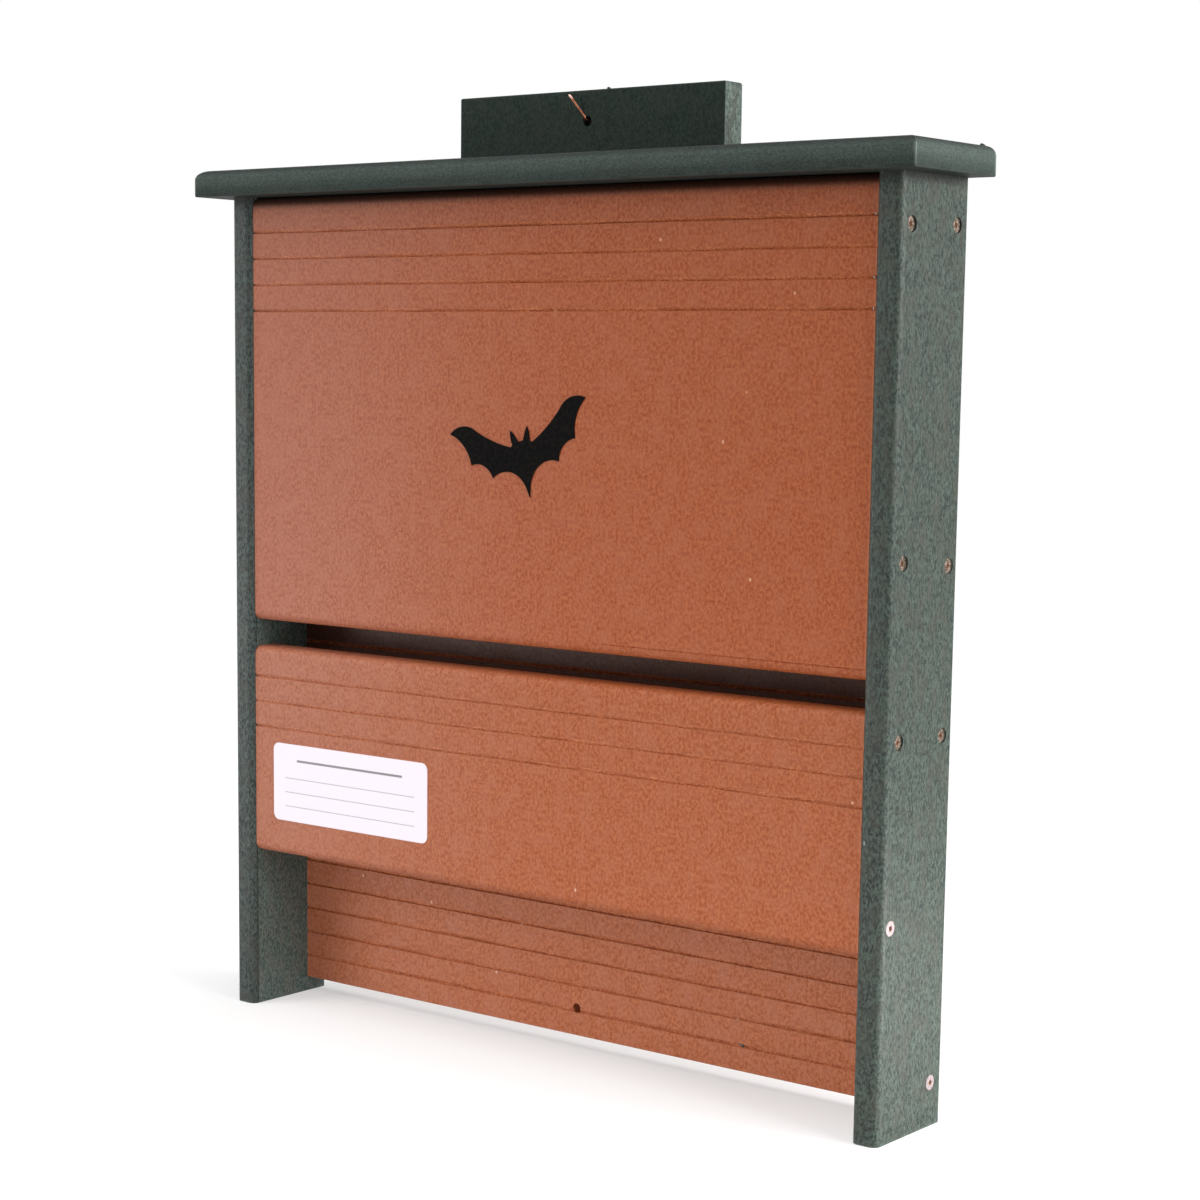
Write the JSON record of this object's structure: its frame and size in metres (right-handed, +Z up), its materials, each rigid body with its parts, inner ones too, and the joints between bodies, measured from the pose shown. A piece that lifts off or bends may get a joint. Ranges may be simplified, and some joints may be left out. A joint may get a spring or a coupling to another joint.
{
  "type": "bat box",
  "caption": "Single chamber bat box of recycled plastic boards with a flat roof, a vent slot, a landing board and a hanger board.",
  "frame": {"origin": "centre of the base footprint of the whole box: under the middle of the box from left to right, midway between the roof's front edge and the wall face, level with the feet of the side boards", "axes": "+X to the right of someone who faces the front, -Y out of the front, +Y towards the wall, +Z up"},
  "size_m": [0.406, 0.0628, 0.4445],
  "materials": {
    "green_board": "dull recycled plastic board, dark grey-green with fine flecks",
    "clay_board": "dull recycled plastic board, terracotta with fine flecks",
    "screw": "coated outdoor screw, copper brown",
    "label": "white weatherproof label, satin, blank",
    "emblem": "flat black"
  },
  "bodies": {
    "root": {"side_left": "green_board", "side_right": "green_board", "roof": "green_board", "hanger_board": "green_board", "back_board": "clay_board", "front_upper": "clay_board", "front_lower": "clay_board", "upper_front_screws": "screw", "lower_front_screws": "screw", "back_board_screws": "screw", "roof_screws": "screw", "hanger_screws": "screw", "front_label": "label", "bat_emblem": "emblem"}
  },
  "joints": []
}
